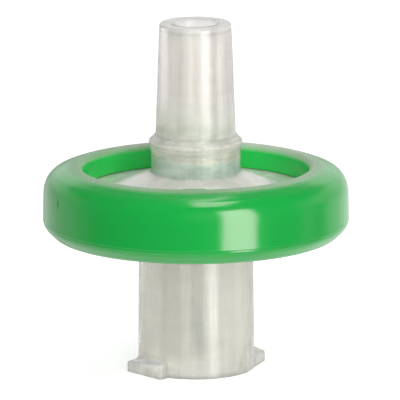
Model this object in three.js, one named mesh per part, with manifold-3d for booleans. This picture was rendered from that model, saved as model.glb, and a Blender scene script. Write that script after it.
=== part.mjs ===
// Syringe filter, 13 mm membrane class: two moulded polypropylene half shells clamp a membrane disc,
// and a ring overmoulded round their edges holds them shut. It stands on the mouth of its inlet.
// Millimetres, +Z up. Origin: centre of the inlet's end face, on the filter's axis.

import * as THREE from "three";
import { mergeVertices } from "three/addons/utils/BufferGeometryUtils.js";
import Module from "manifold-3d";

const wasm = await Module();
wasm.setup();

// ---- driving dimensions, mm -------------------------------------------------------------------

const SEGMENTS = 72; // facets round every turned shape; all share them, so gaps stay even
const FIT_GAP = 0.02; // left between pieces that touch

const OVERALL_H = 19.5;

// sealing ring
const RING_R = 8.5; // 17 mm across
const RING_PARTING_Z = 8.45; // widest line, where the tool's halves meet
const RING_LIP_R = 6.26; // inner edge of the lips
const RING_TOP_Z = 11.48;
const RING_BOTTOM_Z = 7.56;

// clamped stack
const FLANGE_R = 7.2; // both shells' discs
const INLET_FLANGE_Z0 = 8.0;
const MEMBRANE_R = 6.5;
const MEMBRANE_Z = 9.0;
const MEMBRANE_T = 0.16;
const OUTLET_FLANGE_Z1 = 10.1;
const CHAMBER_R = 5.9; // wetted area; outside it the shells pinch the membrane
const CHAMBER_DEPTH = 0.36;
const RIB_COUNT = 12; // radial ribs that hold the membrane off each chamber face
const RIB_W = 0.36;
const RIB_R0 = 1.9;
const RIB_R1 = 5.5;
const RIB_CLEAR = 0.05; // rib crest to membrane

// outlet: shoulder, hub, collar and male Luer slip cone
const SHOULDER_R = 5.1;
const HUB_R = 2.475;
const HUB_FOOT_Z = 11.13;
const COLLAR_R = 2.595;
const COLLAR_Z = 12.82;
const CONE_BASE_Z = 13.42;
const CONE_TIP_R = 2.0; // at the tip plane, before the edge radius
const LUER_SLOPE = 0.03; // 6 % on diameter
const OUTLET_BORE_R = 1.05;
const OUTLET_MOUTH_R = 1.2;

// inlet: hub, female Luer bore and locking lugs
const INLET_R0 = 3.23; // at the end face
const INLET_R1 = 3.17; // under the disc
const LUER_MOUTH_R = 2.145;
const LUER_BORE_DEPTH = 7.75;
const INLET_ORIFICE_R = 1.0;
// each lug in plan (radius, deg): a straight side leaves the hub and runs to the corner, a flat
// outer face runs from there to the lug's end; 7.8 mm across the two lugs from side to side
const LUG_FOOT = [3.17, -11];
const LUG_CORNER = [4.05, 18];
const LUG_END = [3.87, 58.9];
const LUG_TOP = [[-11, 0.34], [18, 0.6], [33, 0.73], [59, 0.83]]; // deg, mm: rise of the upper flank
const LUG_FLANK = 0.1; // rise per mm towards the hub
const LUG_EDGE = 0.1; // chamfer of the crest at the end face

// ---- helpers ----------------------------------------------------------------------------------

const rad = (deg) => (deg * Math.PI) / 180;

function signedVolume(geometry) {
  const p = geometry.attributes.position;
  const index = geometry.index;
  const a = new THREE.Vector3();
  const b = new THREE.Vector3();
  const c = new THREE.Vector3();
  let total = 0;
  for (let i = 0; i < index.count; i += 3) {
    a.fromBufferAttribute(p, index.getX(i));
    b.fromBufferAttribute(p, index.getX(i + 1));
    c.fromBufferAttribute(p, index.getX(i + 2));
    total += a.dot(b.cross(c)) / 6;
  }
  return total;
}

// Only positions, shared vertices merged, faces turned outward.
function closedSolid(geometry) {
  const bare = geometry.clone();
  for (const name of Object.keys(bare.attributes)) {
    if (name !== "position") bare.deleteAttribute(name);
  }
  const merged = mergeVertices(bare, 1e-5);
  const kept = [];
  const index = merged.index.array;
  for (let i = 0; i < index.length; i += 3) {
    const [a, b, c] = [index[i], index[i + 1], index[i + 2]];
    if (a !== b && b !== c && a !== c) kept.push(a, b, c);
  }
  merged.setIndex(kept);
  if (signedVolume(merged) < 0) {
    for (let i = 0; i < kept.length; i += 3) {
      [kept[i + 1], kept[i + 2]] = [kept[i + 2], kept[i + 1]];
    }
    merged.setIndex(kept);
  }
  return merged;
}

// A solid of revolution about Z from (radius, height) points, closed back on its first point.
function turned(points) {
  const profile = points.map(([r, z]) => new THREE.Vector2(r, z));
  if (points[0][0] > 0) profile.push(profile[0].clone());
  const lathe = new THREE.LatheGeometry(profile, SEGMENTS);
  lathe.rotateX(Math.PI / 2);
  return closedSolid(lathe);
}

function toManifold(geometry) {
  return new wasm.Manifold(
    new wasm.Mesh({
      numProp: 3,
      vertProperties: new Float32Array(geometry.attributes.position.array),
      triVerts: new Uint32Array(geometry.index.array),
    }),
  );
}

function fromManifold(solid) {
  const mesh = solid.getMesh();
  const geometry = new THREE.BufferGeometry();
  const xyz = new Float32Array((mesh.vertProperties.length / mesh.numProp) * 3);
  for (let i = 0; i < xyz.length / 3; i++) {
    for (let k = 0; k < 3; k++) xyz[3 * i + k] = mesh.vertProperties[mesh.numProp * i + k];
  }
  geometry.setAttribute("position", new THREE.BufferAttribute(xyz, 3));
  geometry.setIndex(Array.from(mesh.triVerts));
  return geometry;
}

function piece(name, geometry, material) {
  geometry.computeVertexNormals();
  const mesh = new THREE.Mesh(geometry, material);
  mesh.name = name;
  return mesh;
}

// ---- chamber ribs -----------------------------------------------------------------------------

// Radial bars from the chamber face towards the membrane, between z0 and z1.
function chamberRibs(z0, z1) {
  const ribs = [];
  for (let i = 0; i < RIB_COUNT; i++) {
    const bar = new THREE.BoxGeometry(RIB_R1 - RIB_R0, RIB_W, z1 - z0);
    bar.translate((RIB_R0 + RIB_R1) / 2, 0, (z0 + z1) / 2);
    bar.rotateZ(rad((360 / RIB_COUNT) * (i + 0.5)));
    ribs.push(toManifold(closedSolid(bar)));
  }
  return ribs;
}

// ---- outlet housing ---------------------------------------------------------------------------

const pinchTop = MEMBRANE_Z + MEMBRANE_T / 2 + FIT_GAP; // outlet shell's clamping land
const pinchBottom = MEMBRANE_Z - MEMBRANE_T / 2 - FIT_GAP; // inlet shell's clamping land
const outletCeiling = pinchTop + CHAMBER_DEPTH;
const inletFloor = pinchBottom - CHAMBER_DEPTH;
const coneR = (z) => CONE_TIP_R + LUER_SLOPE * (OVERALL_H - z);

const outletProfile = [
  // bore, from the tip down to the chamber
  [OUTLET_MOUTH_R, OVERALL_H],
  [OUTLET_BORE_R, OVERALL_H - 0.4],
  [OUTLET_BORE_R, outletCeiling + 0.35],
  [OUTLET_BORE_R + 0.1, outletCeiling + 0.1],
  [OUTLET_BORE_R + 0.35, outletCeiling],
  // chamber ceiling and clamping land
  [CHAMBER_R - 0.1, outletCeiling],
  [CHAMBER_R, pinchTop],
  [FLANGE_R, pinchTop],
  // disc edge and the flat land that the ring's lip covers
  [FLANGE_R, OUTLET_FLANGE_Z1],
  [SHOULDER_R, OUTLET_FLANGE_Z1],
  // shoulder: a shallow dome up to the hub
  [SHOULDER_R - 0.06, OUTLET_FLANGE_Z1 + 0.06],
  [4.55, 10.38],
  [4.0, 10.605],
  [3.4, 10.82],
  [2.95, 10.97],
  [2.62, HUB_FOOT_Z - 0.05],
  [HUB_R + 0.03, HUB_FOOT_Z + 0.02],
  [HUB_R, HUB_FOOT_Z + 0.12],
  // hub, flaring out to the collar
  [HUB_R, 11.95],
  [2.485, 12.2],
  [2.52, 12.5],
  [2.575, 12.72],
  [COLLAR_R, COLLAR_Z],
  [2.57, 12.885],
  [2.485, 12.985],
  [2.3, 13.145],
  [2.225, 13.25],
  [coneR(CONE_BASE_Z), CONE_BASE_Z],
  // cone and tip edge
  [coneR(OVERALL_H - 0.12), OVERALL_H - 0.12],
  [CONE_TIP_R - 0.03, OVERALL_H - 0.035],
  [CONE_TIP_R - 0.1, OVERALL_H],
];

let outlet = toManifold(turned(outletProfile));
for (const rib of chamberRibs(pinchTop - FIT_GAP + RIB_CLEAR, outletCeiling + 0.15)) {
  outlet = outlet.add(rib);
}

// ---- inlet housing ----------------------------------------------------------------------------

const boreR = (z) => LUER_MOUTH_R - LUER_SLOPE * z;

const inletProfile = [
  // outside of the hub, up to the disc
  [INLET_R0 - 0.12, 0],
  [INLET_R0 - 0.03, 0.04],
  [INLET_R0, 0.14],
  [INLET_R1, INLET_FLANGE_Z0 - 0.5],
  [INLET_R1 + 0.07, INLET_FLANGE_Z0 - 0.25],
  [INLET_R1 + 0.24, INLET_FLANGE_Z0 - 0.07],
  [INLET_R1 + 0.5, INLET_FLANGE_Z0],
  // disc
  [FLANGE_R, INLET_FLANGE_Z0],
  [FLANGE_R, pinchBottom],
  [CHAMBER_R, pinchBottom],
  [CHAMBER_R - 0.1, inletFloor],
  // inlet orifice
  [INLET_ORIFICE_R + 0.3, inletFloor],
  [INLET_ORIFICE_R + 0.08, inletFloor - 0.08],
  [INLET_ORIFICE_R, inletFloor - 0.3],
  [INLET_ORIFICE_R, LUER_BORE_DEPTH],
  // female Luer bore, 6 % taper, with a small lead-in at its mouth
  [boreR(LUER_BORE_DEPTH), LUER_BORE_DEPTH],
  [boreR(0.12), 0.12],
  [LUER_MOUTH_R + 0.09, 0],
];

function lugTop(az) {
  const last = LUG_TOP.length - 1;
  let i = 1;
  while (i < last && az > LUG_TOP[i][0]) i++;
  const [a0, z0] = LUG_TOP[i - 1];
  const [a1, z1] = LUG_TOP[i];
  return z0 + ((z1 - z0) * (az - a0)) / (a1 - a0);
}

// One lug: its outline in plan, raised to an upper flank that climbs round the hub like a thread.
function lug(turn) {
  const inner = 2.75; // inside the hub's wall
  const at = ([r, az]) => [r * Math.cos(rad(az)), r * Math.sin(rad(az))];
  const outline = [];
  for (let az = 61; az >= LUG_FOOT[1] - 1; az -= 7.2) {
    outline.push(at([inner, az]));
  }
  outline.push(at(LUG_FOOT));
  const [x0, y0] = at(LUG_CORNER);
  const [x1, y1] = at(LUG_END);
  const steps = 9;
  for (let i = 0; i <= steps; i++) {
    outline.push([x0 + ((x1 - x0) * i) / steps, y0 + ((y1 - y0) * i) / steps]);
  }
  const shape = new THREE.Shape(outline.map(([x, y]) => new THREE.Vector2(x, y)));
  const solid = new THREE.ExtrudeGeometry(shape, { depth: 2, steps: 2, bevelEnabled: false });
  const p = solid.attributes.position;
  for (let i = 0; i < p.count; i++) {
    const r = Math.hypot(p.getX(i), p.getY(i));
    const az = (Math.atan2(p.getY(i), p.getX(i)) * 180) / Math.PI;
    const layer = Math.round(p.getZ(i));
    if (layer === 2) {
      p.setZ(i, lugTop(az) + LUG_FLANK * (LUG_CORNER[0] - r));
    } else if (layer === 1) {
      p.setZ(i, LUG_EDGE);
    } else if (r > INLET_R0) {
      // the outer face draws in at the end face
      p.setX(i, (r - 0.8 * LUG_EDGE) * Math.cos(rad(az)));
      p.setY(i, (r - 0.8 * LUG_EDGE) * Math.sin(rad(az)));
    }
  }
  solid.rotateZ(rad(turn));
  return toManifold(closedSolid(solid));
}

let inlet = toManifold(turned(inletProfile));
for (const rib of chamberRibs(inletFloor - 0.15, pinchBottom + FIT_GAP - RIB_CLEAR)) {
  inlet = inlet.add(rib);
}
inlet = inlet.add(lug(0)).add(lug(180));

// ---- membrane ---------------------------------------------------------------------------------

const membrane = turned([
  [0, MEMBRANE_Z - MEMBRANE_T / 2],
  [MEMBRANE_R, MEMBRANE_Z - MEMBRANE_T / 2],
  [MEMBRANE_R, MEMBRANE_Z + MEMBRANE_T / 2],
  [0, MEMBRANE_Z + MEMBRANE_T / 2],
]);

// ---- sealing ring -----------------------------------------------------------------------------

const grooveR = FLANGE_R + FIT_GAP;
const ring = turned([
  // groove that holds both discs
  [grooveR, INLET_FLANGE_Z0 - FIT_GAP],
  [grooveR, OUTLET_FLANGE_Z1 + FIT_GAP],
  // upper lip
  [RING_LIP_R, OUTLET_FLANGE_Z1 + FIT_GAP],
  [RING_LIP_R, 11.12],
  [6.285, 11.28],
  [6.345, 11.39],
  [6.43, 11.455],
  [6.55, RING_TOP_Z],
  [6.72, 11.455],
  // crowned top
  [7.2, 11.33],
  [7.6, 11.23],
  [7.84, 11.14],
  [8.04, 11.005],
  [8.2, 10.83],
  [8.32, 10.63],
  [8.405, 10.4],
  [8.445, 10.17],
  // outer wall, slight draft down to the parting line
  [RING_R, RING_PARTING_Z],
  [8.46, 8.29],
  [8.375, 8.13],
  [8.27, 8.0],
  [8.13, 7.865],
  [7.99, 7.725],
  [7.85, 7.62],
  // lower lip
  [7.66, RING_BOTTOM_Z],
  [6.62, RING_BOTTOM_Z],
  [6.44, 7.59],
  [6.31, 7.68],
  [RING_LIP_R, 7.8],
  [RING_LIP_R, INLET_FLANGE_Z0 - FIT_GAP],
]);

// ---- assembly ---------------------------------------------------------------------------------

const naturalPP = new THREE.MeshStandardMaterial({ color: 0xdcd9d0, roughness: 0.35, metalness: 0 });
const naturalPPInlet = new THREE.MeshStandardMaterial({ color: 0xd2d1c4, roughness: 0.32, metalness: 0 });
const membraneWhite = new THREE.MeshStandardMaterial({ color: 0xf6f6f2, roughness: 0.85, metalness: 0 });
const greenPP = new THREE.MeshStandardMaterial({ color: 0x1fae48, roughness: 0.3, metalness: 0 });

const filter = new THREE.Group();
filter.add(
  piece("outlet_housing", fromManifold(outlet), naturalPP),
  piece("inlet_housing", fromManifold(inlet), naturalPPInlet),
  piece("filter_membrane", membrane, membraneWhite),
  piece("sealing_ring", ring, greenPP),
);

export default filter;
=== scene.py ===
"""Looks for the syringe filter: finely turned meshes of its four pieces, their materials, a studio floor,
soft lights and the camera. Lengths in the tables below are millimetres; meshes are made in metres."""

import math

import bpy
import numpy as np
from mathutils import Matrix, Vector


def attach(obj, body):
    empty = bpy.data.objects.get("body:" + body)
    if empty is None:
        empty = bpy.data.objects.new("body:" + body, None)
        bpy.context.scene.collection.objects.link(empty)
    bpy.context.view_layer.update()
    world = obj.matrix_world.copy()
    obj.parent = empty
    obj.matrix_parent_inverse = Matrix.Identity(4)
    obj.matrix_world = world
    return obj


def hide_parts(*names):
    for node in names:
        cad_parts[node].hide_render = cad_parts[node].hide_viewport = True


MM = 0.001
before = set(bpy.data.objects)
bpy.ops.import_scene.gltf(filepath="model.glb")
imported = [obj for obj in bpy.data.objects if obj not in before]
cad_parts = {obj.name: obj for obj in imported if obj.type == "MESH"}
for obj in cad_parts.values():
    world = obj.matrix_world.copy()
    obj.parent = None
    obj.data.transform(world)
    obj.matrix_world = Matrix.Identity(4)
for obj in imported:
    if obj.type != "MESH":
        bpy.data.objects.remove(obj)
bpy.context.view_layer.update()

# ---- sizes, the same as the construction's ------------------------------------------------------

SEG = 288
GAP = 0.02
H = 19.5
RING_R, RING_LIP_R = 8.5, 6.26
FLANGE_R = 7.2
INLET_Z0, OUTLET_Z1 = 8.0, 10.1
MEM_R, MEM_Z, MEM_T = 6.5, 9.0, 0.16
CHAMBER_R, CHAMBER_DEPTH = 5.9, 0.36
RIBS, RIB_W, RIB_R0, RIB_R1, RIB_CLEAR = 12, 0.36, 1.9, 5.5, 0.05
PINCH_TOP = MEM_Z + MEM_T / 2 + GAP
PINCH_BOTTOM = MEM_Z - MEM_T / 2 - GAP
CEILING = PINCH_TOP + CHAMBER_DEPTH
FLOOR = PINCH_BOTTOM - CHAMBER_DEPTH
HUB_R, HUB_FOOT = 2.475, 11.13
CONE_TIP_R, LUER, CONE_LUER = 2.0, 0.03, 0.0375
INLET_R0, INLET_R1 = 3.23, 3.17
LUER_MOUTH_R, LUER_DEPTH, ORIFICE_R = 2.145, 7.75, 1.0


def cone_r(z):
    return CONE_TIP_R - 0.006 + CONE_LUER * (H - z)


def bore_r(z):
    return LUER_MOUTH_R - LUER * z


# ---- mesh helpers -------------------------------------------------------------------------------


def rounded(points, step=9.0, closed=True):
    """Corner points (r, z, corner radius) to a polyline whose corners are arcs."""
    out = []
    n = len(points)
    for i, (r, z, rad) in enumerate(points):
        p = np.array([r, z], float)
        if rad <= 0 or (not closed and i in (0, n - 1)):
            out.append(p)
            continue
        a = np.array(points[i - 1][:2], float) - p
        b = np.array(points[(i + 1) % n][:2], float) - p
        la, lb = np.linalg.norm(a), np.linalg.norm(b)
        a, b = a / la, b / lb
        turn = math.pi - math.acos(max(-1.0, min(1.0, float(a @ b))))
        if turn < 1e-3:
            out.append(p)
            continue
        cut = min(rad * math.tan(turn / 2), 0.48 * la, 0.48 * lb)
        rad = cut / math.tan(turn / 2)
        bis = (a + b) / np.linalg.norm(a + b)
        centre = p + bis * (rad / math.cos(turn / 2))
        start, end = p + a * cut, p + b * cut
        k = max(2, int(math.ceil(math.degrees(turn) / step)))
        u, v = start - centre, end - centre
        for j in range(k + 1):
            t = j / k
            w = (math.sin((1 - t) * turn) * u + math.sin(t * turn) * v) / math.sin(turn)
            out.append(centre + w)
    return out


def curved(points, per=6):
    """A smooth open curve through (r, z) points."""
    p = [np.array(q[:2], float) for q in points]
    p = [2 * p[0] - p[1], *p, 2 * p[-1] - p[-2]]
    out = []
    for i in range(1, len(p) - 2):
        for j in range(per):
            t = j / per
            out.append(
                0.5
                * (
                    2 * p[i]
                    + (p[i + 1] - p[i - 1]) * t
                    + (2 * p[i - 1] - 5 * p[i] + 4 * p[i + 1] - p[i + 2]) * t**2
                    + (3 * p[i] - p[i - 1] - 3 * p[i + 1] + p[i + 2]) * t**3
                )
            )
    out.append(p[-2])
    return out


def split_long(line, longest, closed=True):
    """Adds points so that no step is over longest, short next to corners so that smooth shading stays true."""
    out = []
    n = len(line)
    for i in range(n if closed else n - 1):
        a, b = line[i], line[(i + 1) % n]
        d = float(np.linalg.norm(b - a))
        out.append(a)
        if d <= 0.06:
            continue
        edge = 0.02
        inner = max(1, int(math.ceil((d - 2 * edge) / longest)))
        out.append(a + (b - a) * edge / d)
        for j in range(1, inner):
            out.append(a + (b - a) * (edge + (d - 2 * edge) * j / inner) / d)
        out.append(b - (b - a) * edge / d)
    if not closed:
        out.append(line[-1])
    return out


def grid_mesh(name, xyz, closed_profile=True, cap_first=None, cap_last=None):
    """xyz[profile point, azimuth] in millimetres, round the axis, as a mesh in metres.
    With an open profile, cap_first and cap_last are heights on the axis that close its ends."""
    rows, cols = xyz.shape[:2]
    verts = (xyz.reshape(-1, 3) * MM).tolist()
    faces = []
    for i in range(rows if closed_profile else rows - 1):
        i2 = (i + 1) % rows
        for j in range(cols):
            j2 = (j + 1) % cols
            faces.append((i * cols + j, i * cols + j2, i2 * cols + j2, i2 * cols + j))
    for cap, row in ((cap_first, 0), (cap_last, rows - 1)):
        if cap is None:
            continue
        verts.append((0.0, 0.0, cap * MM))
        c = len(verts) - 1
        for j in range(cols):
            j2 = (j + 1) % cols
            tri = (c, row * cols + j2, row * cols + j)
            faces.append(tri if row == 0 else tri[::-1])
    mesh = bpy.data.meshes.new(name)
    mesh.from_pydata(verts, [], faces)
    mesh.validate()
    # outward faces: the signed volume has to be positive
    mesh.calc_loop_triangles()
    co = np.empty(len(mesh.vertices) * 3)
    mesh.vertices.foreach_get("co", co)
    co = co.reshape(-1, 3)
    tri = np.empty(len(mesh.loop_triangles) * 3, int)
    mesh.loop_triangles.foreach_get("vertices", tri)
    tri = tri.reshape(-1, 3)
    volume = np.einsum("ij,ij->i", co[tri[:, 0]], np.cross(co[tri[:, 1]], co[tri[:, 2]])).sum() / 6
    if volume < 0:
        mesh.flip_normals()
    mesh.shade_smooth()
    obj = bpy.data.objects.new(name, mesh)
    bpy.context.scene.collection.objects.link(obj)
    return obj


def turned(profile, azimuths):
    """Rows of points round the axis for one profile, the same at every azimuth."""
    prof = np.array(profile)
    ca, sa = np.cos(azimuths), np.sin(azimuths)
    xyz = np.empty((len(prof), len(azimuths), 3))
    xyz[:, :, 0] = prof[:, None, 0] * ca
    xyz[:, :, 1] = prof[:, None, 0] * sa
    xyz[:, :, 2] = prof[:, None, 1]
    return xyz


def smooth01(x):
    x = np.clip(x, 0.0, 1.0)
    return x * x * (3 - 2 * x)


def rib_shape(x, y):
    """1 on the chamber's radial ribs, 0 between them."""
    r = np.hypot(x, y)
    pitch = 2 * math.pi / RIBS
    a = np.arctan2(y, x) - pitch / 2
    off = np.abs(a - np.round(a / pitch) * pitch) * r
    side = smooth01((RIB_W / 2 + 0.05 - off) / 0.1)
    ends = smooth01((r - RIB_R0 + 0.05) / 0.1) * smooth01((RIB_R1 + 0.05 - r) / 0.1)
    return side * ends


AZ = np.linspace(0, 2 * math.pi, SEG, endpoint=False)

# ---- outlet shell -------------------------------------------------------------------------------


def outlet_shell():
    line = rounded(
        [
            (1.2, H, 0.06),
            (1.05, H - 0.6, 0.04),
            (1.05, CEILING + 0.3, 0.0),
            (1.05, CEILING + 0.25, 0.2),
            (1.4, CEILING, 0.12),
            (CHAMBER_R - 0.1, CEILING, 0.08),
            (CHAMBER_R, PINCH_TOP, 0.03),
            (FLANGE_R, PINCH_TOP, 0.03),
            (FLANGE_R, OUTLET_Z1, 0.03),
            (5.12, OUTLET_Z1, 0.08),
        ],
        closed=False,
    )
    line = split_long(line, 0.3, closed=False)
    line += curved(
        [(5.04, 10.16), (4.55, 10.38), (4.0, 10.605), (3.4, 10.82), (2.95, 10.97), (2.68, 11.06)], 5
    )
    line += curved(
        [
            (2.55, 11.115),
            (2.5, 11.17),
            (HUB_R, 11.26),
            (HUB_R, 11.6),
            (HUB_R, 11.95),
            (2.485, 12.2),
            (2.51, 12.42),
            (2.52, 12.47),
            (2.53, 12.52),
            (2.54, 12.57),
            (2.56, 12.66),
        ],
        5,
    )[:-1]
    collar = rounded(
        [
            (2.56, 12.66, 0.0),
            (2.602, 12.84, 0.03),
            (2.59, 12.935, 0.05),
            (2.262, 13.255, 0.05),
            (cone_r(13.34), 13.34, 0.1),
            (cone_r(13.6), 13.6, 0.0),
        ],
        closed=False,
    )
    line += split_long(collar, 0.025, closed=False)[:-1]
    cone = rounded(
        [
            (cone_r(13.6), 13.6, 0.0),
            (cone_r(H - 0.1), H - 0.1, 0.1),
            (CONE_TIP_R - 0.06, H, 0.04),
            (1.2, H, 0.0),
        ],
        closed=False,
    )
    line += split_long(cone, 0.22, closed=False)[:-1]
    xyz = turned(line, AZ)
    # fine wavy lines that the mould left round the collar
    r = np.hypot(xyz[:, :, 0], xyz[:, :, 1])
    dr = np.zeros_like(r)
    for z0, w, depth, k, turn in ((13.03, 0.02, 0.03, 3, 0.4), (12.75, 0.026, 0.034, 2, 1.9), (12.53, 0.03, 0.03, 3, 3.1)):
        wave = 0.028 * np.sin(k * AZ + turn) + 0.014 * np.sin((2 * k + 3) * AZ + 2 * turn)
        fade = 0.65 + 0.35 * np.sin(5 * AZ + 3 * turn)
        dr -= depth * fade * np.exp(-(((xyz[:, :, 2] - z0 - wave) / w) ** 2))
    dr[(r < 2.3) | (xyz[:, :, 2] < 12.0)] = 0.0
    xyz[:, :, :2] *= ((r + dr) / r)[:, :, None]
    # the chamber ceiling's ribs
    z = xyz[:, :, 2]
    low = (np.abs(z - CEILING) < 0.02) & (np.hypot(xyz[:, :, 0], xyz[:, :, 1]) > 1.5)
    z[low] -= (CHAMBER_DEPTH - RIB_CLEAR + GAP) * rib_shape(xyz[:, :, 0], xyz[:, :, 1])[low]
    return grid_mesh("outlet_shell", xyz)


# ---- inlet shell --------------------------------------------------------------------------------

# each lug in plan (radius, degrees): foot of its straight side, corner, end of its flat face, and back to the hub
LUG_PLAN = ((INLET_R0, -11.0), (4.05, 18.0), (3.875, 57.4), (3.8, 59.0), (3.62, 59.9), (INLET_R0, 61.0))
LUG_TOP = ((-11, 0.34), (18, 0.6), (33, 0.73), (61.0, 0.83))


def lug_at(az):
    """Height of the lug above the hub's wall, and of its upper flank above the end face, at an azimuth in degrees."""
    a = (az + 90.0) % 180.0 - 90.0
    top = float(np.interp(a, *zip(*LUG_TOP)))
    u = (math.cos(math.radians(a)), math.sin(math.radians(a)))
    for (r0, a0), (r1, a1) in zip(LUG_PLAN, LUG_PLAN[1:]):
        if a0 < a < a1:
            p = (r0 * math.cos(math.radians(a0)), r0 * math.sin(math.radians(a0)))
            q = (r1 * math.cos(math.radians(a1)), r1 * math.sin(math.radians(a1)))
            d = (q[0] - p[0], q[1] - p[1])
            r = (p[0] * d[1] - p[1] * d[0]) / (u[0] * d[1] - u[1] * d[0])
            return max(0.0, min(r, LUG_PLAN[1][0] - 0.02) - INLET_R0), top
    return 0.0, top


def inlet_shell():
    extra = []
    for turn in (0, 180):
        for a in (-11.3, -10.8, 15.5, 16.4, 17.0, 17.5, 18.0, 18.5, 19.0, 20.0, 56.6, 57.0, 57.4, 57.8, 58.4, 58.8, 59.1, 59.5, 59.8, 60.1, 60.5, 61.0, 61.4):
            extra.append(math.radians(a + turn) % (2 * math.pi))
    az = np.unique(np.round(np.concatenate([AZ, extra]), 5))
    keep = np.ones(len(az), bool)
    keep[1:] = np.diff(az) > math.radians(0.12)
    az = az[keep]

    # outside, from the end face up: the same count of points at every azimuth
    low = []
    for a in np.degrees(az):
        h, top = lug_at(a)
        s = min(1.0, h / 0.12)  # the lug's own edges fade out with it
        crest = INLET_R0 + h
        turn = (a + 90) % 180 - 90
        rise = h * float(smooth01((60.5 - turn) / 14.0) * smooth01((turn - 14.0) / 22.0)) * 0.8
        lead = 0.012 * s
        pts = [
            (crest - 0.1 - lead, 0.0),
            (crest - 0.034 - lead, 0.0),
            (crest - 0.017 - lead * 0.5, 0.005),
            (crest - 0.006 - lead * 0.2, 0.017),
            (crest, 0.036),
            (crest, 0.14),
            (crest - 0.001, top * 0.5),
            (crest - 0.003, top - 0.09),
            (crest - 0.006 * s, top - 0.06),
            (crest - 0.03 * s, top - 0.018),
            (crest - 0.07 * s, top + 0.004 * s),
        ]
        for t in (0.0, 0.15, 0.35, 0.55, 0.75, 0.9, 1.0):
            r0, r1 = crest - 0.09 * s, INLET_R0 + 0.07 * s
            r = r0 + (r1 - r0) * t if r0 > r1 else INLET_R0 - 0.002
            pts.append((r, top + 0.008 * s + (0.07 * t + 0.3 * rise * t * t) * s + (1 - s) * 0.015 * (t + 0.3)))
        pts += [
            (INLET_R0 + 0.035 * s, top + 0.11 + 0.34 * rise),
            (INLET_R0 + 0.01 * s - 0.003, top + 0.16 + 0.36 * rise),
            (INLET_R0 - 0.006, top + 0.24 + 0.38 * rise),
        ]
        low.append(pts)
    low = np.array(low)  # azimuth, point, (r, z)

    slope = (INLET_R0 - INLET_R1) / (INLET_Z0 - 0.5)
    upper = rounded(
        [
            (INLET_R0 - slope * 1.2, 1.2, 0.0),
            (INLET_R1, INLET_Z0 - 0.5, 0.0),
            (INLET_R1, INLET_Z0, 0.5),
            (FLANGE_R, INLET_Z0, 0.03),
            (FLANGE_R, PINCH_BOTTOM, 0.03),
            (CHAMBER_R, PINCH_BOTTOM, 0.03),
            (CHAMBER_R - 0.1, FLOOR, 0.08),
            (ORIFICE_R, FLOOR, 0.22),
            (ORIFICE_R, LUER_DEPTH, 0.05),
            (bore_r(LUER_DEPTH), LUER_DEPTH, 0.12),
            (bore_r(0.14), 0.14, 0.1),
            (LUER_MOUTH_R + 0.1, 0.0, 0.05),
            (2.6, 0.0, 0.0),
        ],
        closed=False,
    )
    upper = split_long(upper, 0.24, closed=False)
    body = turned(upper, az)
    z = body[:, :, 2]
    flat = (np.abs(z - FLOOR) < 0.02) & (np.hypot(body[:, :, 0], body[:, :, 1]) > 1.5)
    z[flat] += (CHAMBER_DEPTH - RIB_CLEAR + GAP) * rib_shape(body[:, :, 0], body[:, :, 1])[flat]
    edge = np.empty((low.shape[1], len(az), 3))
    edge[:, :, 0] = low[:, :, 0].T * np.cos(az)
    edge[:, :, 1] = low[:, :, 0].T * np.sin(az)
    edge[:, :, 2] = low[:, :, 1].T
    xyz = np.concatenate([edge, body])
    return grid_mesh("inlet_shell", xyz)


# ---- membrane -----------------------------------------------------------------------------------


def membrane():
    r = MEM_R
    lo, hi = MEM_Z - MEM_T / 2, MEM_Z + MEM_T / 2
    line = [np.array([x, lo]) for x in np.linspace(0.25, r - 0.05, 40)]
    line += [np.array(p) for p in ((r - 0.02, lo + 0.01), (r, lo + 0.04), (r, hi - 0.04), (r - 0.02, hi - 0.01))]
    line += [np.array([x, hi]) for x in np.linspace(r - 0.05, 0.25, 40)]
    xyz = turned(line, AZ[::2])
    return grid_mesh("membrane_disc", xyz, closed_profile=False, cap_first=lo, cap_last=hi)


# ---- ring ---------------------------------------------------------------------------------------


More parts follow.
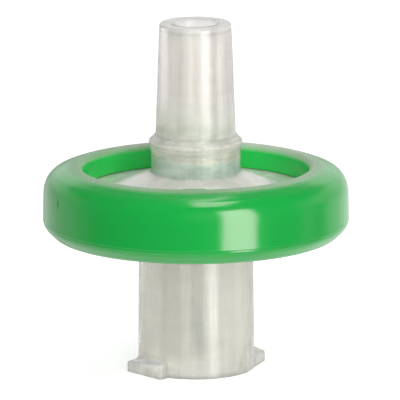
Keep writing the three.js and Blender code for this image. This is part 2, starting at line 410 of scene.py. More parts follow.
def ring():
    groove = FLANGE_R + GAP
    line = rounded(
        [
            (RING_LIP_R, 7.9, 0.0),
            (RING_LIP_R, INLET_Z0 - GAP, 0.02),
            (groove, INLET_Z0 - GAP, 0.02),
            (groove, OUTLET_Z1 + GAP, 0.02),
            (RING_LIP_R, OUTLET_Z1 + GAP, 0.04),
            (RING_LIP_R, 10.3, 0.0),
        ],
        closed=False,
    )
    line += curved(
        [
            (RING_LIP_R, 10.7),
            (RING_LIP_R, 11.0),
            (6.27, 11.13),
            (6.302, 11.26),
            (6.362, 11.37),
            (6.44, 11.445),
            (6.54, 11.482),
            (6.68, 11.475),
            (6.84, 11.45),
            (7.02, 11.41),
            (7.2, 11.363),
            (7.4, 11.302),
            (7.6, 11.235),
            (7.84, 11.14),
            (8.04, 11.005),
            (8.2, 10.83),
            (8.32, 10.63),
            (8.41, 10.4),
            (8.455, 10.17),
            (8.472, 9.9),
            (8.484, 9.4),
            (8.49, 8.9),
        ],
        5,
    )
    # the parting line: a fine witness step where the tool's halves met
    line += [np.array(p) for p in ((8.494, 8.51), (8.4985, 8.495), (8.5, 8.47), (8.4985, 8.45), (8.488, 8.44))]
    line += curved(
        [
            (8.484, 8.4),
            (8.46, 8.29),
            (8.375, 8.13),
            (8.27, 8.0),
            (8.13, 7.865),
            (7.99, 7.725),
            (7.85, 7.62),
            (7.7, 7.568),
            (7.5, 7.56),
            (7.0, 7.56),
            (6.62, 7.56),
            (6.44, 7.59),
            (6.31, 7.68),
            (RING_LIP_R, 7.8),
        ],
        5,
    )
    line = split_long(line, 0.2)
    extra = np.radians(360 - 153.8 + np.array([-1.1, -0.85, -0.65, -0.45, -0.25, 0.0, 0.25, 0.45, 0.65, 0.85, 1.1]))
    az = np.unique(np.round(np.concatenate([AZ[np.abs(AZ - extra[5]) > math.radians(1.25)], extra]), 5))
    xyz = turned(line, az)
    # the gate's small tick in the wall
    r = np.hypot(xyz[:, :, 0], xyz[:, :, 1])
    off = (az - extra[5])[None, :] * RING_R + 0.12 * (xyz[:, :, 2] - 10.07)
    tick = np.exp(-((off / 0.055) ** 2)) * np.exp(-(((xyz[:, :, 2] - 10.07) / 0.24) ** 4)) * (r > 8.0)
    # a low vent pad on the lip, at the front
    side = np.abs(np.angle(np.exp(1j * (az + math.pi / 2 + 0.012))))[None, :]
    pad = smooth01((0.105 - side) / 0.03) * smooth01((xyz[:, :, 2] - 11.2) / 0.12) * smooth01((6.75 - r) / 0.15)
    scale = (r - 0.05 * tick) / r
    xyz[:, :, 0] *= scale
    xyz[:, :, 1] *= scale
    xyz[:, :, 2] += 0.045 * pad
    return grid_mesh("grip_ring", xyz)


# ---- materials ----------------------------------------------------------------------------------


def set_ramp(ramp, stops):
    """Stops are (position 0 to 1, grey level or colour), in order."""
    e = ramp.color_ramp.elements
    e[0].position, e[-1].position = stops[0][0], stops[-1][0]
    for pos, _ in stops[1:-1]:
        e.new(pos)
    for el, (_, v) in zip(e, stops):
        el.color = (v, v, v, 1.0) if isinstance(v, (int, float)) else (*v, 1.0)


class Nodes:
    """A short way to write a node tree."""

    def __init__(self, name):
        self.mat = bpy.data.materials.new(name)
        self.mat.use_nodes = True
        self.nt = self.mat.node_tree
        self.nt.nodes.clear()
        self.out = self.add("ShaderNodeOutputMaterial")
        self.bsdf = self.add("ShaderNodeBsdfPrincipled")
        self.link(self.bsdf.outputs[0], self.out.inputs["Surface"])
        self.coord = self.add("ShaderNodeTexCoord").outputs["Object"]

    def add(self, kind, **settings):
        node = self.nt.nodes.new(kind)
        for k, v in settings.items():
            setattr(node, k, v)
        return node

    def link(self, a, b):
        self.nt.links.new(a, b)

    def stretch(self, x, y, z):
        m = self.add("ShaderNodeMapping")
        m.inputs["Scale"].default_value = (x, y, z)
        self.link(self.coord, m.inputs["Vector"])
        return m.outputs[0]

    def noise(self, scale, detail=3.0, rough=0.5, vector=None):
        n = self.add("ShaderNodeTexNoise")
        n.inputs["Scale"].default_value = scale
        n.inputs["Detail"].default_value = detail
        n.inputs["Roughness"].default_value = rough
        self.link(vector or self.coord, n.inputs["Vector"])
        return n.outputs["Fac"]

    def span(self, value, a, b, c, d):
        m = self.add("ShaderNodeMapRange")
        for i, v in enumerate((a, b, c, d)):
            m.inputs[i + 1].default_value = v
        self.link(value, m.inputs[0])
        return m.outputs[0]

    def mix(self, factor, a, b):
        m = self.add("ShaderNodeMix", data_type="RGBA")
        self.link(factor, m.inputs["Factor"])
        for value, socket in ((a, m.inputs[6]), (b, m.inputs[7])):
            if isinstance(value, tuple):
                socket.default_value = (*value, 1.0)
            else:
                self.link(value, socket)
        return m.outputs[2]

    def math(self, op, a, b):
        m = self.add("ShaderNodeMath", operation=op)
        for i, v in enumerate((a, b)):
            if isinstance(v, (int, float)):
                m.inputs[i].default_value = v
            else:
                self.link(v, m.inputs[i])
        return m.outputs[0]

    def bump(self, height, distance, strength=1.0, under=None):
        b = self.add("ShaderNodeBump")
        b.inputs["Strength"].default_value = strength
        b.inputs["Distance"].default_value = distance
        self.link(height, b.inputs["Height"])
        if under is not None:
            self.link(under, b.inputs["Normal"])
        return b.outputs[0]


def natural_pp(name, tint_a, tint_b, clear, tone, rough, core, by_radius, blotch, by_turn, ripples=None, shade_spot=None):
    """Natural polypropylene: clear and tone are tables by height (tone with painted shade and a painted reflection in
    it), by_radius a table of painted light by radius, blotch a table by height of how uneven it is, and
    by_turn a table of painted light and shade round the axis (degrees) with the heights between which it counts;
    ripples are the moulding
    lines of the collar: their heights and how dark; the last argument is a spot of painted shade in the front wall: its
    x, z, half width, half height and slant."""
    n = Nodes(name)
    split = n.add("ShaderNodeSeparateXYZ")
    n.link(n.coord, split.inputs[0])
    height = n.span(split.outputs[2], 0.0, H * MM, 0.0, 1.0)
    flat = n.add("ShaderNodeVectorMath", operation="MULTIPLY")
    flat.inputs[1].default_value = (1.0, 1.0, 0.0)
    n.link(n.coord, flat.inputs[0])
    away = n.add("ShaderNodeVectorMath", operation="LENGTH")
    n.link(flat.outputs[0], away.inputs[0])
    radius = away.outputs["Value"]
    # tint by height; its tables hold painted shade and a painted reflection
    shade = n.add("ShaderNodeValToRGB")
    n.link(height, shade.inputs[0])
    set_ramp(shade, [(z / H, c) for z, c in tone])
    # painted light by radius: the tables make the dome's rim and the lugs lighter
    painted_light_ramp = n.add("ShaderNodeValToRGB")
    n.link(n.span(radius, 0.0, RING_R * MM, 0.0, 1.0), painted_light_ramp.inputs[0])
    set_ramp(painted_light_ramp, [(r / RING_R, v) for r, v in by_radius])

    def times(a, b):
        m = n.add("ShaderNodeMix", data_type="RGBA", blend_type="MULTIPLY")
        m.inputs["Factor"].default_value = 1.0
        n.link(a, m.inputs[6])
        n.link(b, m.inputs[7])
        return m.outputs[2]

    # slow clouds, flow lines along the axis and a fine grain
    cloud = n.noise(260.0, 4.0, 0.55)
    flow = n.noise(1700.0, 3.0, 0.6, n.stretch(1.0, 1.0, 0.045))
    grain = n.noise(9000.0, 2.0, 0.6)
    patch = n.noise(620.0, 4.0, 0.62, n.stretch(1.0, 1.0, 1.9))
    uneven = n.add("ShaderNodeValToRGB")
    n.link(height, uneven.inputs[0])
    set_ramp(uneven, [(z / H, v) for z, v in blotch])
    patch = n.math("MULTIPLY", n.math("SUBTRACT", patch, 0.5), uneven.outputs[0])
    mixed = n.math("ADD", n.math("MULTIPLY", cloud, 0.5), n.math("MULTIPLY", flow, 0.5))
    colour = times(n.mix(n.span(mixed, 0.36, 0.64, 0.0, 1.0), tint_a, tint_b), shade.outputs[0])
    colour = times(colour, painted_light_ramp.outputs[0])
    fleck = n.mix(n.span(grain, 0.3, 0.7, 0.0, 1.0), (0.965, 0.965, 0.965), (1.0, 1.0, 1.0))
    colour = times(colour, fleck)
    colour = times(colour, n.mix(n.span(patch, -0.1, 0.1, 0.0, 1.0), (0.9, 0.945, 0.925), (1.0, 1.0, 1.0)))
    if ripples:
        z0, z1, depth = ripples
        wave = n.noise(700.0, 2.0, 0.55, n.stretch(0.55, 0.55, 9.0))
        band = n.math(
            "MULTIPLY",
            n.span(split.outputs[2], (z0 - 0.1) * MM, (z0 + 0.1) * MM, 0.0, depth),
            n.span(split.outputs[2], (z1 - 0.1) * MM, (z1 + 0.1) * MM, 1.0, 0.0),
        )
        crest = n.math("MULTIPLY", n.span(n.math("ABSOLUTE", n.math("SUBTRACT", wave, 0.5), 0.0), 0.0, 0.06, 1.0, 0.0), band)
        colour = times(colour, n.math("SUBTRACT", 1.0, crest))
        # painted reflection: the flat round the dome takes the ring's green at both sides
        flank = n.span(n.math("ABSOLUTE", split.outputs[0], 0.0), 4.1 * MM, 4.8 * MM, 0.0, 1.0)
        flank = n.math("MULTIPLY", flank, n.span(radius, 5.08 * MM, 5.25 * MM, 0.0, 1.0))
        flank = n.math("MULTIPLY", flank, n.span(split.outputs[2], 10.0 * MM, 10.1 * MM, 0.0, 1.0))
        colour = times(colour, n.mix(flank, (1.0, 1.0, 1.0), (0.68, 0.9, 0.72)))
        # the cone's colour is paler towards the tip
        colour = times(colour, n.span(split.outputs[2], 16.3 * MM, 18.6 * MM, 1.0, 1.06))
        # painted highlight: a vertical paler band down the front of the hub, the rest of the hub a little darker
        off = n.math("ABSOLUTE", n.math("SUBTRACT", n.math("ADD", split.outputs[0], n.span(wave, 0.35, 0.65, -0.08 * MM, 0.08 * MM)), 0.7 * MM), 0.0)
        band = n.math("MULTIPLY", n.span(off, 0.15 * MM, 0.42 * MM, 1.0, 0.0), n.span(split.outputs[1], -1.0 * MM, 0.0, 1.0, 0.0))
        hub = n.math("MULTIPLY", n.span(radius, 2.35 * MM, 2.45 * MM, 0.0, 1.0), n.span(split.outputs[2], 11.1 * MM, 11.3 * MM, 0.0, 1.0))
        painted_highlight = n.math("ADD", 0.94, n.math("MULTIPLY", band, 0.17))
        colour = n.mix(hub, colour, times(colour, painted_highlight))
        # the tip: painted shade on the mouth's front edge and on the outer edge behind it
        tip = n.span(split.outputs[2], (H - 0.25) * MM, (H - 0.15) * MM, 0.0, 1.0)
        mouth_shade = n.math("MULTIPLY", n.span(radius, 1.27 * MM, 1.31 * MM, 0.0, 1.0), n.span(radius, 1.36 * MM, 1.5 * MM, 1.0, 0.0))
        mouth_shade = n.math("MULTIPLY", mouth_shade, n.span(split.outputs[1], -0.7 * MM, 0.1 * MM, 1.0, 0.0))
        mouth_shade = n.math("MULTIPLY", mouth_shade, n.span(patch, -0.02, 0.02, 0.45, 0.75))
        rim = n.math("MULTIPLY", n.span(radius, 1.84 * MM, 1.92 * MM, 0.0, 1.0), n.span(split.outputs[1], 0.5 * MM, 1.3 * MM, 0.0, 0.7))
        colour = n.mix(tip, colour, times(colour, n.math("SUBTRACT", 1.0, n.math("MAXIMUM", mouth_shade, rim))))
        # painted shade: the collar is darker towards its right side
        side = n.span(split.outputs[0], 1.4 * MM, 2.5 * MM, 0.0, 0.14)
        side = n.math("MULTIPLY", side, n.span(split.outputs[2], (z0 - 0.1) * MM, (z0 + 0.1) * MM, 0.0, 1.0))
        side = n.math("MULTIPLY", side, n.span(split.outputs[2], (z1 - 0.1) * MM, (z1 + 0.1) * MM, 1.0, 0.0))
        colour = times(colour, n.math("SUBTRACT", 1.0, side))
    # painted light and shade: paler and darker vertical bands round the axis, standing in for the refracted and
    # reflected light in the clear wall
    around, z0, z1 = by_turn
    turn = n.math("ARCTAN2", split.outputs[1], split.outputs[0])
    wobble = n.span(n.noise(330.0, 2.0, 0.5), 0.3, 0.7, -0.05, 0.05)
    lines = n.add("ShaderNodeValToRGB")
    n.link(n.span(n.math("ADD", turn, wobble), -math.pi, math.pi, 0.0, 1.0), lines.inputs[0])
    set_ramp(lines, [((a + 180) / 360, v / 1.25) for a, v in around])
    where = n.math(
        "MULTIPLY",
        n.span(split.outputs[2], z0 * MM, (z0 + 0.7) * MM, 0.0, 1.0),
        n.span(split.outputs[2], (z1 - 0.7) * MM, z1 * MM, 1.0, 0.0),
    )
    grey = n.math("MULTIPLY", n.math("SUBTRACT", n.math("MULTIPLY", lines.outputs[0], 1.25), 1.0), where)
    colour = times(colour, n.math("ADD", grey, 1.0))
    if shade_spot:
        # painted shade: a greyer spot in the front wall
        tx, tz, wide, tall, slant = (v * MM if i < 4 else v for i, v in enumerate(shade_spot))
        across = n.math("ADD", split.outputs[0], n.math("MULTIPLY", n.math("SUBTRACT", split.outputs[2], tz), slant))
        across = n.math("DIVIDE", n.math("SUBTRACT", across, tx), wide)
        along = n.math("DIVIDE", n.math("SUBTRACT", split.outputs[2], tz), tall)
        spot = n.math("ADD", n.math("MULTIPLY", across, across), n.math("MULTIPLY", along, along))
        spot = n.math("MULTIPLY", n.span(spot, 0.0, 1.0, 1.0, 0.0), n.span(split.outputs[1], -1.0 * MM, 0.0, 1.0, 0.0))
        colour = times(colour, n.mix(spot, (1.0, 1.0, 1.0), (0.84, 0.865, 0.89)))
        # painted light: the foot of the hub is paler to the left, most of all over the lug
        foot_painted_light = n.math("MULTIPLY", n.span(split.outputs[2], 0.1 * MM, 0.25 * MM, 0.0, 0.08), n.span(split.outputs[2], 1.2 * MM, 1.8 * MM, 1.0, 0.0))
        foot_painted_light = n.math("MULTIPLY", foot_painted_light, n.span(split.outputs[0], -0.3 * MM, 0.5 * MM, 1.0, 0.0))
        over = n.math("MULTIPLY", n.span(split.outputs[2], 0.55 * MM, 0.75 * MM, 0.0, 0.1), n.span(split.outputs[2], 1.0 * MM, 1.4 * MM, 1.0, 0.0))
        over = n.math("MULTIPLY", over, n.span(split.outputs[0], -1.3 * MM, -0.9 * MM, 1.0, 0.0))
        colour = times(colour, n.math("ADD", 1.0, n.math("ADD", foot_painted_light, over)))
        # the lugs: painted shade on their ends, painted light on their upper flanks and front faces
        round_up = n.add("ShaderNodeSeparateXYZ")
        n.link(n.add("ShaderNodeNewGeometry").outputs["Normal"], round_up.inputs[0])
        up = n.span(round_up.outputs[2], 0.25, 0.8, 0.0, 1.0)
        lug = n.math("MULTIPLY", n.span(radius, 3.25 * MM, 3.31 * MM, 0.0, 1.0), n.span(split.outputs[2], 1.3 * MM, 1.5 * MM, 1.0, 0.0))
        half = n.math("ARCTAN2", split.outputs[1], split.outputs[0])
        half = n.math("ADD", half, n.span(half, math.radians(-90.5), math.radians(-89.5), math.pi, 0.0))
        half = n.math("SUBTRACT", half, n.span(half, math.radians(89.5), math.radians(90.5), 0.0, math.pi))
        lug_light_and_shade = n.add("ShaderNodeValToRGB")
        n.link(n.span(half, -math.pi / 2, math.pi / 2, 0.0, 1.0), lug_light_and_shade.inputs[0])
        set_ramp(lug_light_and_shade, [((a + 90) / 180, v) for a, v in ((-90, 0.8), (-12, 0.78), (14, 0.78), (20, 0.92), (34, 0.96), (50, 0.9), (56, 0.83), (58, 0.76), (90, 0.8))])
        face = n.math("ADD", n.math("MULTIPLY", lug_light_and_shade.outputs[0], n.math("SUBTRACT", 1.0, up)), n.math("MULTIPLY", up, 1.0))
        colour = n.mix(lug, colour, times(colour, n.math("MULTIPLY", face, 1.16)))
    # the bore's own surface takes no tint: light pays for the thickness once, not at every wall
    n.link(
        n.mix(n.span(radius, core * MM, (core + 0.1) * MM, 0.0, 1.0), (0.97, 0.97, 0.965), colour),
        n.bsdf.inputs["Base Color"],
    )
    smooth = n.span(n.noise(700.0, 3.0), 0.3, 0.7, *rough)
    mouth = n.math("MULTIPLY", n.span(radius, (core - 0.05) * MM, (core + 0.02) * MM, 1.0, 0.0), n.span(height, 0.9, 0.97, 0.0, 0.5))
    n.link(n.math("MAXIMUM", smooth, mouth), n.bsdf.inputs["Roughness"])
    # bump: flow lines, the turned finish of the mould, grain
    lathe = n.noise(1100.0, 2.0, 0.5, n.stretch(0.3, 0.3, 12.0))
    b = n.bump(flow, 0.000007, 0.4)
    b = n.bump(lathe, 0.0000008, 0.5, b)
    b = n.bump(patch, 0.000012, 0.4, b)
    b = n.bump(grain, 0.0000016, 0.5, b)
    n.link(b, n.bsdf.inputs["Normal"])
    n.bsdf.inputs["IOR"].default_value = 1.49
    n.bsdf.inputs["Specular IOR Level"].default_value = 0.17
    # how clear it is by height: thick or textured places scatter more
    ramp = n.add("ShaderNodeValToRGB")
    n.link(height, ramp.inputs[0])
    set_ramp(ramp, [(z / H, v) for z, v in clear])
    seen = n.math("ADD", ramp.outputs[0], n.span(patch, -0.15, 0.15, 0.12, -0.12))
    seen = n.math("ADD", seen, n.span(flow, 0.35, 0.65, 0.05, -0.05))
    # light that is inside leaves freely, and the smooth bore scatters little
    bore = n.span(radius, core * MM, (core + 0.1) * MM, 0.93, 0.0)
    inside = n.add("ShaderNodeNewGeometry").outputs["Backfacing"]
    n.link(n.math("MAXIMUM", n.math("MAXIMUM", seen, bore), inside), n.bsdf.inputs["Transmission Weight"])
    n.bsdf.inputs["Subsurface Weight"].default_value = 1.0
    n.bsdf.inputs["Subsurface Radius"].default_value = (1.0, 0.95, 0.85)
    n.bsdf.inputs["Subsurface Scale"].default_value = 0.0012
    return n.mat


def membrane_white():
    n = Nodes("membrane_white")
    pores = n.noise(9000.0, 5.0, 0.7)
    n.link(n.mix(n.span(pores, 0.3, 0.7, 0.0, 1.0), (0.86, 0.86, 0.84), (0.93, 0.93, 0.92)), n.bsdf.inputs["Base Color"])
    n.bsdf.inputs["Roughness"].default_value = 0.9
    n.link(n.bump(pores, 0.00001, 0.6), n.bsdf.inputs["Normal"])
    return n.mat


def green_pp():
    n = Nodes("green_gloss")
    split = n.add("ShaderNodeSeparateXYZ")
    n.link(n.coord, split.inputs[0])
    z = split.outputs[2]
    flat = n.add("ShaderNodeVectorMath", operation="MULTIPLY")
    flat.inputs[1].default_value = (1.0, 1.0, 0.0)
    n.link(n.coord, flat.inputs[0])
    away = n.add("ShaderNodeVectorMath", operation="LENGTH")
    n.link(flat.outputs[0], away.inputs[0])
    r = away.outputs["Value"]
    cloud = n.noise(180.0, 3.0, 0.5)
    green = n.mix(n.span(cloud, 0.3, 0.7, 0.0, 1.0), (0.003, 0.40, 0.055), (0.004, 0.44, 0.062))
    # painted light: the inner wall is brighter, standing in for the light the thin lip lets through
    green = n.mix(n.span(r, 6.3 * MM, 6.45 * MM, 1.0, 0.0), green, (0.006, 0.6, 0.082))
    # the lip's land is matt, and its colour carries a painted sheen all round, paler at the rear and darker at the far
    # left
    land = n.math("MULTIPLY", n.span(z, 11.08 * MM, 11.42 * MM, 0.0, 1.0), n.span(r, 6.82 * MM, 7.38 * MM, 1.0, 0.0))
    sheen_noise = n.span(n.noise(900.0, 4.0, 0.65), 0.3, 0.7, 0.8, 1.1)
    pad = n.math("MULTIPLY", n.span(split.outputs[1], -6.15 * MM, -6.2 * MM, 0.0, 1.0), n.span(r, 6.6 * MM, 6.7 * MM, 1.0, 0.0))
    pad = n.math("MULTIPLY", pad, n.span(split.outputs[0], 0.55 * MM, 0.65 * MM, 1.0, 0.0))
    pad = n.math("MULTIPLY", pad, n.span(split.outputs[0], -0.8 * MM, -0.7 * MM, 0.0, 1.0))
    land = n.math("MULTIPLY", land, n.span(pad, 0.0, 1.0, 1.0, 0.25))
    painted_sheen = n.math("MULTIPLY", land, sheen_noise)
    rear = n.math("MULTIPLY", n.span(split.outputs[1], 1.5 * MM, 5.0 * MM, 0.0, 1.0), n.span(split.outputs[0], -5.6 * MM, -3.2 * MM, 0.0, 1.0))
    front = n.mix(n.span(split.outputs[0], -6.5 * MM, -4.5 * MM, 0.0, 1.0), (0.2, 0.43, 0.2), (0.3, 0.475, 0.29))
    pale = n.mix(rear, front, (0.52, 0.62, 0.49))
    n.link(n.mix(painted_sheen, green, pale), n.bsdf.inputs["Base Color"])
    speck = n.noise(9000.0, 3.0, 0.6)
    fine = n.span(speck, 0.35, 0.75, 0.13, 0.2)
    n.link(n.math("ADD", fine, n.math("MULTIPLY", land, 0.25)), n.bsdf.inputs["Roughness"])
    wave = n.noise(230.0, 2.0, 0.5)
    b = n.bump(wave, 0.00006, 0.35)
    b = n.bump(speck, 0.0000035, 0.6, b)
    n.link(b, n.bsdf.inputs["Normal"])
    n.bsdf.inputs["IOR"].default_value = 1.49
    n.bsdf.inputs["Specular IOR Level"].default_value = 0.6
    n.bsdf.inputs["Specular Tint"].default_value = (1.0, 0.62, 0.85, 1.0)
    return n.mat


OUTLET_CLEAR = ((0.0, 0.12), (11.05, 0.12), (11.2, 0.1), (13.2, 0.1), (13.5, 0.16), (14.2, 0.3), (15.0, 0.48), (15.8, 0.62), (19.3, 0.62), (19.42, 0.3), (19.5, 0.3))
INLET_CLEAR = ((0.0, 0.2), (0.9, 0.25), (1.5, 0.38), (2.9, 0.62), (7.0, 0.62), (8.0, 0.3), (19.5, 0.3))
# tint by height, partly painted: the teal band low on the hub is a painted reflection of the green ring; the narrow
# darker bands at the collar's grooves, at the crease above them and near the tip are painted shade
OUTLET_TONE = (
    (0.0, (1.0, 1.0, 0.98)),
    (11.1, (1.0, 1.0, 0.98)),
    (11.2, (0.82, 0.945, 0.91)),
    (11.98, (0.83, 0.945, 0.905)),
    (12.03, (1.0, 1.0, 0.95)),
    (12.68, (1.0, 0.99, 0.94)),
    (12.74, (0.9, 0.92, 0.88)),
    (12.8, (1.0, 0.99, 0.94)),
    (12.97, (1.0, 0.99, 0.94)),
    (13.02, (0.9, 0.93, 0.89)),
    (13.07, (0.98, 0.99, 0.94)),
    (13.21, (0.93, 0.97, 0.92)),
    (13.26, (0.86, 0.9, 0.86)),
    (13.31, (0.93, 0.97, 0.92)),
    (13.6, (0.95, 0.98, 0.93)),
    (14.6, (0.97, 0.98, 0.95)),
    (15.5, (1.0, 0.985, 0.965)),
    (19.1, (1.0, 0.985, 0.97)),
    (19.17, (0.8, 0.795, 0.78)),
    (19.24, (1.0, 0.99, 0.975)),
    (19.5, (1.0, 0.985, 0.97)),
)
# painted light by radius: the dome's rim and the lugs are made lighter
OUTLET_BLOTCH = ((0.0, 0.3), (11.0, 0.35), (11.3, 1.0), (13.3, 1.0), (13.9, 0.25), (16.0, 0.12), (19.5, 0.12))
INLET_BLOTCH = ((0.0, 0.4), (1.0, 0.35), (1.8, 0.15), (19.5, 0.12))
OUTLET_PAINTED_LIGHT = ((0.0, 0.83), (2.5, 0.83), (2.75, 0.87), (4.2, 1.0), (8.5, 1.0))
INLET_PAINTED_LIGHT = ((0.0, 0.83), (3.3, 0.83), (3.5, 0.94), (8.5, 0.94))
# painted light and shade round the axis: paler and darker vertical bands standing in for refracted and reflected light,
# degrees from +x (the camera is at -90)
OUTLET_TURN = (
    (
        (-180, 0.93),
        (-168, 1.0),
        (-158, 0.89),
        (-153, 0.93),
        (-133.6, 0.98),
        (-122.5, 1.07),
        (-112.7, 0.95),
        (-103.6, 1.06),
        (-94.8, 1.12),
        (-86, 1.08),
        (-77, 1.0),
        (-68, 1.08),
        (-61, 0.95),
        (-57.5, 0.86),
        (-52, 1.0),
        (-47, 1.06),
        (-38, 1.0),
        (-34, 0.93),
        (-20, 1.02),
        (0, 0.97),
        (25, 1.05),
        (45, 0.95),
        (70, 1.07),
        (90, 0.96),
        (110, 1.06),
        (130, 0.94),
        (150, 1.05),
        (165, 0.93),
        (180, 0.97),
    ),
    13.3,
    20.5,
)
INLET_TURN = (
    (
        (-180, 0.97),
        (-165, 1.03),
        (-153, 1.0),
        (-137, 1.14),
        (-129, 1.12),
        (-125.3, 1.0),
        (-115, 0.94),
        (-107, 0.93),
        (-100, 1.0),
        (-96, 0.99),
        (-88, 0.92),
        (-78, 1.0),
        (-69, 1.09),
        (-59, 1.15),
        (-48, 1.06),
        (-34, 1.11),
        (-20, 1.0),
        (0, 0.95),
        (25, 1.06),
        (50, 0.95),
        (75, 1.06),
        (100, 0.95),
        (125, 1.07),
        (150, 0.96),
        (165, 1.05),
        (180, 0.97),
    ),
    0.7,
    9.0,
)
# tint by height: darker towards the bottom edge, painted shade
INLET_TONE = ((0.0, (0.8, 0.8, 0.77)), (0.12, (0.86, 0.86, 0.83)), (0.24, (1.0, 0.99, 0.96)), (0.7, (1.0, 0.99, 0.96)), (1.2, (1.0, 1.0, 0.95)), (19.5, (1.0, 1.0, 0.95)))

# ---- the pieces on their body -------------------------------------------------------------------

for obj, node, slot, material in (
    (outlet_shell(), "outlet_housing", "natural_pp_outlet", natural_pp("natural_pp_outlet", (0.98, 0.935, 0.9), (1.0, 0.955, 0.92), OUTLET_CLEAR, OUTLET_TONE, (0.16, 0.22), 1.25, OUTLET_PAINTED_LIGHT, OUTLET_BLOTCH, OUTLET_TURN, (12.1, 13.35, 0.13))),
    (inlet_shell(), "inlet_housing", "natural_pp_inlet", natural_pp("natural_pp_inlet", (0.85, 0.82, 0.775), (0.9, 0.87, 0.825), INLET_CLEAR, INLET_TONE, (0.16, 0.22), 2.3, INLET_PAINTED_LIGHT, INLET_BLOTCH, INLET_TURN, None, (0.08, 2.9, 0.5, 1.9, 0.16))),
    (membrane(), "filter_membrane", "membrane", membrane_white()),
    (ring(), "sealing_ring", "green_pp", green_pp()),
):
    obj.data.materials.append(material)
    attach(obj, "root")
    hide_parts(node)

# ---- floor, light and camera --------------------------------------------------------------------


def floor():
    mesh = bpy.data.meshes.new("floor")
    s = 3.0
    mesh.from_pydata([(-s, -s, 0), (s, -s, 0), (s, s, 0), (-s, s, 0)], [], [(0, 1, 2, 3)])
    obj = bpy.data.objects.new("floor", mesh)
    bpy.context.scene.collection.objects.link(obj)
    n = Nodes("floor_white")
    n.link(n.mix(n.noise(30.0, 2.0), (0.79, 0.79, 0.79), (0.81, 0.81, 0.81)), n.bsdf.inputs["Base Color"])
    n.bsdf.inputs["Roughness"].default_value = 0.8
    n.bsdf.inputs["Specular IOR Level"].default_value = 0.0
    n.bsdf.inputs["Emission Color"].default_value = (1, 1, 1, 1)
    n.bsdf.inputs["Emission Strength"].default_value = FLOOR_GLOW
    # from below the sheet is clear, so that the object's underside can be looked at too
    under = n.add("ShaderNodeMixShader")
    n.link(n.add("ShaderNodeNewGeometry").outputs["Backfacing"], under.inputs[0])
    n.link(n.bsdf.outputs[0], under.inputs[1])
    n.link(n.add("ShaderNodeBsdfTransparent").outputs[0], under.inputs[2])
    n.link(under.outputs[0], n.out.inputs["Surface"])
    mesh.materials.append(n.mat)
    obj.location.z = -0.00001
    # the room below stands for the sheet in what the object shows and in the light it gets
    obj.visible_glossy = False
    obj.visible_transmission = False
    obj.visible_diffuse = False
    obj.visible_shadow = False


def area(name, location, target, size, radiance, diffuse=True, glossy=True, transmission=True):
    """A rectangle lamp of a given radiance (white paper in the scene is about 1)."""
    lamp = bpy.data.lights.new(name, "AREA")
    lamp.shape = "RECTANGLE"
    lamp.size, lamp.size_y = size
    lamp.energy = radiance * math.pi * size[0] * size[1]
    obj = bpy.data.objects.new(name, lamp)
    obj.location = location
    obj.rotation_mode = "QUATERNION"
    obj.rotation_quaternion = (Vector(target) - Vector(location)).to_track_quat("-Z", "Y")
    obj.visible_camera = False
    obj.visible_diffuse = diffuse
    obj.visible_glossy = glossy
    obj.visible_transmission = transmission
    bpy.context.scene.collection.objects.link(obj)
    return obj


FLOOR_GLOW = 0.6
# the room's brightness by direction, degrees from the camera's side (plus is to the right): in the gloss
AROUND = (
    (-180, 0.4),
    (-168, 0.5),
    (-158, 0.92),
    (-125, 0.92),
    (-108, 0.84),
    (-96, 0.6),
    (-88, 0.38),
    (-76, 0.22),
    (-60, 0.18),
    (0, 0.2),
    (62, 0.25),
    (84, 0.32),
    (90, 0.65),
    (97, 0.62),
    (104, 0.42),
    (112, 0.42),
    (119, 1.0),
    (150, 1.12),
    (166, 0.96),
    (174, 0.6),
    (180, 0.5),
)
# the same over the horizon
ABOVE = (
    (-180, 0.85),
    (-150, 0.8),
    (-110, 0.8),
    (-88, 0.35),
    (-76, 0.22),
    (0, 0.2),
    (76, 0.25),
    (90, 0.6),
    (110, 0.9),
    (150, 1.0),
    (180, 0.9),
)
# and through the clear plastic
THROUGH = (
    (-180, 0.95),
    (-169, 0.95),
    (-161, 0.9),
    (-150, 0.88),
    (-60, 0.85),
    (0, 0.35),
    (60, 0.6),
    (95, 0.68),
    (110, 0.95),
    (122, 1.2),
    (150, 1.15),
    (180, 0.95),
)
OVER, OVER_BACK, WALL, UNDER, UNDER_SOFT = 0.22, 0.28, 1.1, 1.2, 0.5


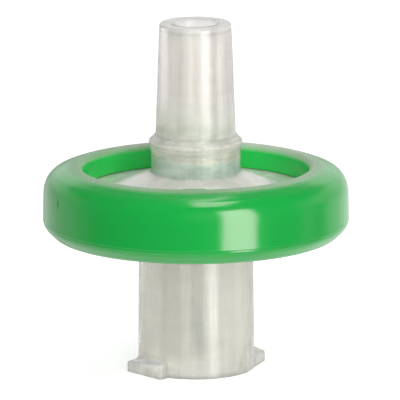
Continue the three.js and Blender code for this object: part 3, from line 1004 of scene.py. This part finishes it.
def lights():
    world = bpy.data.worlds.new("studio")
    world.use_nodes = True
    nt = world.node_tree
    nt.nodes.clear()
    out = nt.nodes.new("ShaderNodeOutputWorld")
    back = nt.nodes.new("ShaderNodeBackground")
    nt.links.new(back.outputs[0], out.inputs[0])
    coord = nt.nodes.new("ShaderNodeTexCoord")
    split = nt.nodes.new("ShaderNodeSeparateXYZ")
    nt.links.new(coord.outputs["Generated"], split.inputs[0])
    path = nt.nodes.new("ShaderNodeLightPath")

    def math_node(op, a, b=0.0):
        m = nt.nodes.new("ShaderNodeMath")
        m.operation = op
        for i, v in enumerate((a, b)):
            if isinstance(v, (int, float)):
                m.inputs[i].default_value = v
            else:
                nt.links.new(v, m.inputs[i])
        return m.outputs[0]

    def blend(factor, a, b):
        m = nt.nodes.new("ShaderNodeMix")
        for socket, v in ((m.inputs[0], factor), (m.inputs[2], a), (m.inputs[3], b)):
            if isinstance(v, (int, float)):
                socket.default_value = v
            else:
                nt.links.new(v, socket)
        return m.outputs[0]

    def soft_step(value, a, b):
        m = nt.nodes.new("ShaderNodeMapRange")
        m.interpolation_type = "SMOOTHSTEP"
        for i, v in enumerate((a, b, 0.0, 1.0)):
            m.inputs[i + 1].default_value = v
        nt.links.new(value, m.inputs[0])
        return m.outputs[0]

    front = math_node("MULTIPLY", split.outputs[1], -1.0)
    turn = math_node("ARCTAN2", split.outputs[0], front)
    share = math_node("ADD", math_node("MULTIPLY", turn, 0.5 / math.pi), 0.5)

    def around(table):
        ramp = nt.nodes.new("ShaderNodeValToRGB")
        nt.links.new(share, ramp.inputs[0])
        top = max(v for _, v in table)
        set_ramp(ramp, [((az + 180) / 360, v / top) for az, v in table])
        return math_node("MULTIPLY", ramp.outputs[0], top)

    up = split.outputs[2]
    high, low = soft_step(up, 0.34, 0.6), soft_step(math_node("MULTIPLY", up, -1.0), 0.4, 0.85)
    rim = blend(soft_step(up, 0.0, 0.12), around(AROUND), around(ABOVE))
    # behind the object the wall goes up further and is brightest at about 25 degrees
    far = math_node("ABSOLUTE", turn)
    far = soft_step(far, math.radians(118), math.radians(142))
    wall = math_node("SUBTRACT", soft_step(up, 0.1, 0.2), soft_step(up, 0.42, 0.55))
    ceiling = blend(far, OVER, OVER_BACK)
    gloss = blend(high, rim, ceiling)
    gloss = blend(math_node("MULTIPLY", wall, far), gloss, WALL)
    # and the foot of the overhead panel hangs down behind the object
    strip = math_node("SUBTRACT", soft_step(up, 0.4, 0.5), soft_step(up, 0.8, 0.9))
    strip = math_node("MULTIPLY", strip, soft_step(math_node("ABSOLUTE", turn), math.radians(171.5), math.radians(177)))
    gloss = blend(strip, gloss, 0.85)
    gloss = blend(low, gloss, UNDER)
    clear = blend(low, blend(high, around(THROUGH), OVER), UNDER)
    # soft light: the walls, the dim ceiling, and the ground's share from below
    ground = soft_step(math_node("MULTIPLY", up, -1.0), -0.05, 0.25)
    soft = blend(ground, blend(high, around(ABOVE), OVER), UNDER_SOFT)
    level = blend(path.outputs["Is Transmission Ray"], gloss, clear)
    level = blend(path.outputs["Is Diffuse Ray"], level, soft)
    level = blend(path.outputs["Is Camera Ray"], level, 1.0)
    nt.links.new(level, back.inputs["Strength"])
    back.inputs["Color"].default_value = (1, 1, 1, 1)
    bpy.context.scene.world = world

    # a tall soft panel close to the right, in two lamps: what the gloss shows of it, and the light it gives
    a = math.radians(30.2)
    reach = 0.05
    place = (reach * math.sin(a), -reach * math.cos(a), 0.0215)
    area("panel_right", place, (0, 0, 0.0215), (0.0218, 0.049), PANEL_GLOSS, diffuse=False).data.color = PANEL_COLOUR
    low = math.radians(34.5)
    place = (reach * math.sin(low), -reach * math.cos(low), -0.013)
    area("panel_right_low", place, (0, 0, -0.013), (0.0145, 0.02), 0.95 * PANEL_GLOSS, diffuse=False).data.color = PANEL_COLOUR
    place = (reach * math.sin(a), -reach * math.cos(a), 0.036)
    area("panel_right_fill", place, (0, 0, 0.036), (0.027, 0.07), PANEL_FILL, glossy=False, transmission=False)
    # and one overhead
    area("panel_top", (0.0375, -0.045, 0.31), (0.0375, 0.0, 0.01), (0.095, 0.19), TOP_GLOSS, diffuse=False, transmission=False)
    area("panel_top_back", (0.012, 0.14, 0.31), (0.012, 0.0, 0.01), (0.035, 0.18), 0.55 * TOP_GLOSS, diffuse=False, transmission=False)
    area("panel_top_fill", (0, 0.065, 0.31), (0, 0.0, 0.01), (0.13, 0.32), TOP_FILL, glossy=False, transmission=False)
    # a wide fill from behind the camera, too soft to show in the gloss
    area("fill_left", (-0.16, -0.05, 0.24), (-0.002, 0, 0.012), (0.12, 0.12), 0.7, glossy=False, transmission=False)
    area("fill_front", (0.08, -0.46, 0.14), (0, 0, 0.01), (0.3, 0.26), FRONT_FILL, glossy=False, transmission=False)


PANEL_GLOSS, PANEL_FILL = 8.9, 4.6
PANEL_COLOUR = (1.0, 0.96, 0.99)
TOP_GLOSS, TOP_FILL = 5.5, 1.8
FRONT_FILL = 5.1


def camera():
    elevation, reach = math.radians(12.2), 0.4
    target = Vector((0.228 * MM, 0.0, 9.49 * MM))
    back = Vector((0.0, -math.cos(elevation), math.sin(elevation)))
    data = bpy.data.cameras.new("camera")
    data.lens, data.sensor_width = 648.0, 36.0
    data.clip_start, data.clip_end = 0.01, 20.0
    obj = bpy.data.objects.new("camera", data)
    turn = (-back).to_track_quat("-Z", "Y").to_matrix() @ Matrix.Rotation(math.radians(-0.17), 3, "Z")
    obj.matrix_world = Matrix.Translation(target + back * reach) @ turn.to_4x4()
    bpy.context.scene.collection.objects.link(obj)
    bpy.context.scene.camera = obj


floor()
lights()
camera()
bpy.context.scene.view_settings.view_transform = "Standard"
